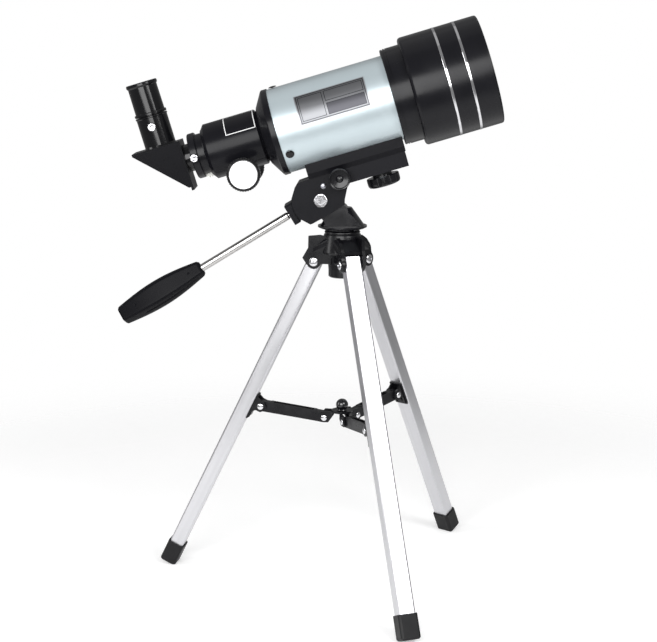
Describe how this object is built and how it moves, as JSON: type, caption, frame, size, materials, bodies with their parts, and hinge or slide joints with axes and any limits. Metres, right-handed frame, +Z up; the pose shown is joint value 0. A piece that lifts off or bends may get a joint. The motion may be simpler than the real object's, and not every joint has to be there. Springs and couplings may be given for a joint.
{
  "type": "tabletop telescope on tripod",
  "caption": "Short refracting telescope with right-angle eyepiece on a folding aluminium table tripod with a pan handle and braced legs.",
  "frame": {"origin": "middle of the bounding box at floor level, with the feet standing on z = 0", "axes": "+X towards the front lens, +Z up, +Y towards the far side from the focusing knob that has the thumb screws beside it"},
  "size_m": [0.369, 0.3258, 0.5487],
  "materials": {
    "gloss_black_enamel": "gloss black enamel with fine wear",
    "silver_blue_enamel": "metallic pale blue-silver enamel, satin gloss",
    "bright_trim": "polished bright trim",
    "brushed_plate": "brushed plate with plain printed frames",
    "grey_black_plastic": "moulded satin plastic",
    "grey_platform": "moulded satin grey plastic",
    "black_anodised": "satin black lacquer",
    "coated_glass": "polished glass with a faint blue-green coating",
    "mirror_face": "front-silvered mirror",
    "drawn_aluminium": "drawn, satin, with long fine lines",
    "black_rubber": "moulded rubber",
    "chrome_steel": "nickel-plated steel",
    "rack_plastic": "moulded pale nylon"
  },
  "bodies": {
    "tripod": {"tripod_hub": "grey_black_plastic", "leg_pivot_screws": "chrome_steel"},
    "pan_head": {"pan_base": "grey_black_plastic"},
    "tilt_head": {"tilt_bracket": "grey_black_plastic", "platform": "grey_platform", "saddle": "grey_black_plastic", "tilt_bolt": "chrome_steel", "tilt_nut": "chrome_steel", "stop_screws": "chrome_steel", "handle_boss": "grey_black_plastic", "main_tube": "silver_blue_enamel", "label_plate": "brushed_plate", "objective_cell": "gloss_black_enamel", "crown_lens": "coated_glass", "flint_lens": "coated_glass", "lens_retainer": "black_anodised", "dew_shield": "gloss_black_enamel", "trim_rings": "bright_trim", "rear_cell": "gloss_black_enamel", "tube_screws": "black_anodised", "focuser_housing": "gloss_black_enamel"},
    "handle": {"handle_rod": "chrome_steel", "handle_grip": "grey_black_plastic"},
    "clamp": {"clamp_knob": "grey_black_plastic"},
    "lock": {"lock_knob": "grey_black_plastic"},
    "focus_tube": {"drawtube": "black_anodised", "focus_rack": "rack_plastic"},
    "focus_knobs": {"pinion_shaft": "chrome_steel", "focus_knob_near": "grey_black_plastic", "focus_knob_far": "grey_black_plastic", "knob_caps": "bright_trim"},
    "tube_thumb_screw": {"drawtube_screw": "chrome_steel"},
    "diagonal": {"diagonal_barrel": "chrome_steel", "diagonal_flange": "black_anodised", "diagonal_body": "gloss_black_enamel", "diagonal_mirror": "mirror_face", "eyepiece_holder": "gloss_black_enamel"},
    "holder_thumb_screw": {"holder_screw": "chrome_steel"},
    "eyepiece": {"eyepiece_body": "gloss_black_enamel", "eyepiece_lenses": "coated_glass"},
    "leg_front": {"leg_front": "drawn_aluminium", "foot_front": "black_rubber", "bracket_front": "grey_black_plastic", "rivet_front": "chrome_steel"},
    "arm_front": {"arm_front": "grey_black_plastic"},
    "leg_left": {"leg_left": "drawn_aluminium", "foot_left": "black_rubber", "bracket_left": "grey_black_plastic", "rivet_left": "chrome_steel"},
    "arm_left": {"arm_left": "grey_black_plastic"},
    "leg_right": {"leg_right": "drawn_aluminium", "foot_right": "black_rubber", "bracket_right": "grey_black_plastic", "rivet_right": "chrome_steel"},
    "arm_right": {"arm_right": "grey_black_plastic"},
    "spreader": {"spreader_hub": "grey_black_plastic", "hub_rivets": "chrome_steel", "ball_knob": "grey_black_plastic"}
  },
  "joints": [
    {"name": "pan", "type": "hinge", "parent": "tripod", "child": "pan_head", "pos_m": [0.0327, 0.01559, 0.35], "axis": [0, 0, 1], "continuous": true},
    {"name": "tilt", "type": "hinge", "parent": "pan_head", "child": "tilt_head", "pos_m": [0.0122, 0.01559, 0.3772], "axis": [0, -1, 0], "range_deg": [-21, 30]},
    {"name": "handle_twist", "type": "hinge", "parent": "tilt_head", "child": "handle", "pos_m": [-0.01172, 0.01559, 0.36568], "axis": [-0.8536, 0, -0.521], "range_deg": [0, 270]},
    {"name": "clamp_turn", "type": "hinge", "parent": "tilt_head", "child": "clamp", "pos_m": [0.07206, 0.01559, 0.39482], "axis": [-0.2823, 0, 0.9593], "range_deg": [0, 360]},
    {"name": "lock_turn", "type": "hinge", "parent": "tilt_head", "child": "lock", "pos_m": [0.03005, 0.01559, 0.39872], "axis": [0, -1, 0], "range_deg": [0, 360]},
    {"name": "drawtube_slide", "type": "slide", "parent": "tilt_head", "child": "focus_tube", "axis": [-0.9593, 0, -0.2823], "range_m": [0, 0.032]},
    {"name": "focus_turn", "type": "hinge", "parent": "tilt_head", "child": "focus_knobs", "pos_m": [-0.05925, 0.01559, 0.40391], "axis": [0, -1, 0], "range_deg": [0, 407.94]},
    {"name": "drawtube_screw_turn", "type": "hinge", "parent": "focus_tube", "child": "tube_thumb_screw", "pos_m": [-0.10573, -0.00441, 0.41838], "axis": [0, -1, 0], "range_deg": [0, 360]},
    {"name": "diagonal_turn", "type": "hinge", "parent": "focus_tube", "child": "diagonal", "pos_m": [-0.10908, 0.01559, 0.41739], "axis": [0.9593, 0, 0.2823], "continuous": true},
    {"name": "holder_screw_turn", "type": "hinge", "parent": "diagonal", "child": "holder_thumb_screw", "pos_m": [-0.14529, 0.00059, 0.44656], "axis": [0, -1, 0], "range_deg": [0, 360]},
    {"name": "eyepiece_slide", "type": "slide", "parent": "diagonal", "child": "eyepiece", "axis": [-0.2823, 0, 0.9593], "range_m": [0, 0.014]},
    {"name": "leg_fold_front", "type": "hinge", "parent": "tripod", "child": "leg_front", "pos_m": [0.04138, -0.00892, 0.3175], "axis": [0.9426, 0.3338, 0], "range_deg": [0, 24]},
    {"name": "leg_fold_left", "type": "hinge", "parent": "tripod", "child": "leg_left", "pos_m": [0.00713, 0.02033, 0.3175], "axis": [-0.1822, -0.9833, 0], "range_deg": [0, 24]},
    {"name": "leg_fold_right", "type": "hinge", "parent": "tripod", "child": "leg_right", "pos_m": [0.04958, 0.03536, 0.3175], "axis": [-0.7604, 0.6494, 0], "range_deg": [0, 24]},
    {"name": "arm_fold_front", "type": "hinge", "parent": "leg_front", "child": "arm_front", "pos_m": [0.05973, -0.06075, 0.17009], "axis": [-0.9426, -0.3338, 0], "range_deg": [0, 109.01]},
    {"name": "arm_fold_left", "type": "hinge", "parent": "leg_left", "child": "arm_left", "pos_m": [-0.04693, 0.03035, 0.17009], "axis": [0.1822, 0.9833, 0], "range_deg": [0, 109.01]},
    {"name": "arm_fold_right", "type": "hinge", "parent": "leg_right", "child": "arm_right", "pos_m": [0.0853, 0.07717, 0.17009], "axis": [0.7604, -0.6494, 0], "range_deg": [0, 109.01]},
    {"name": "spreader_slide", "type": "slide", "parent": "tripod", "child": "spreader", "axis": [0, 0, -1], "range_m": [0, 0.0662]}
  ],
  "couplings": [
    {"joint": "focus_turn", "follows": "drawtube_slide", "rad_per_m": 222.22},
    {"joint": "leg_fold_left", "follows": "leg_fold_front", "ratio": 1},
    {"joint": "leg_fold_right", "follows": "leg_fold_front", "ratio": 1},
    {"joint": "arm_fold_front", "follows": "leg_fold_front", "ratio": 4.5296},
    {"joint": "arm_fold_left", "follows": "leg_fold_front", "ratio": 4.5296},
    {"joint": "arm_fold_right", "follows": "leg_fold_front", "ratio": 4.5296},
    {"joint": "spreader_slide", "follows": "leg_fold_front", "m_per_rad": 0.15732}
  ]
}
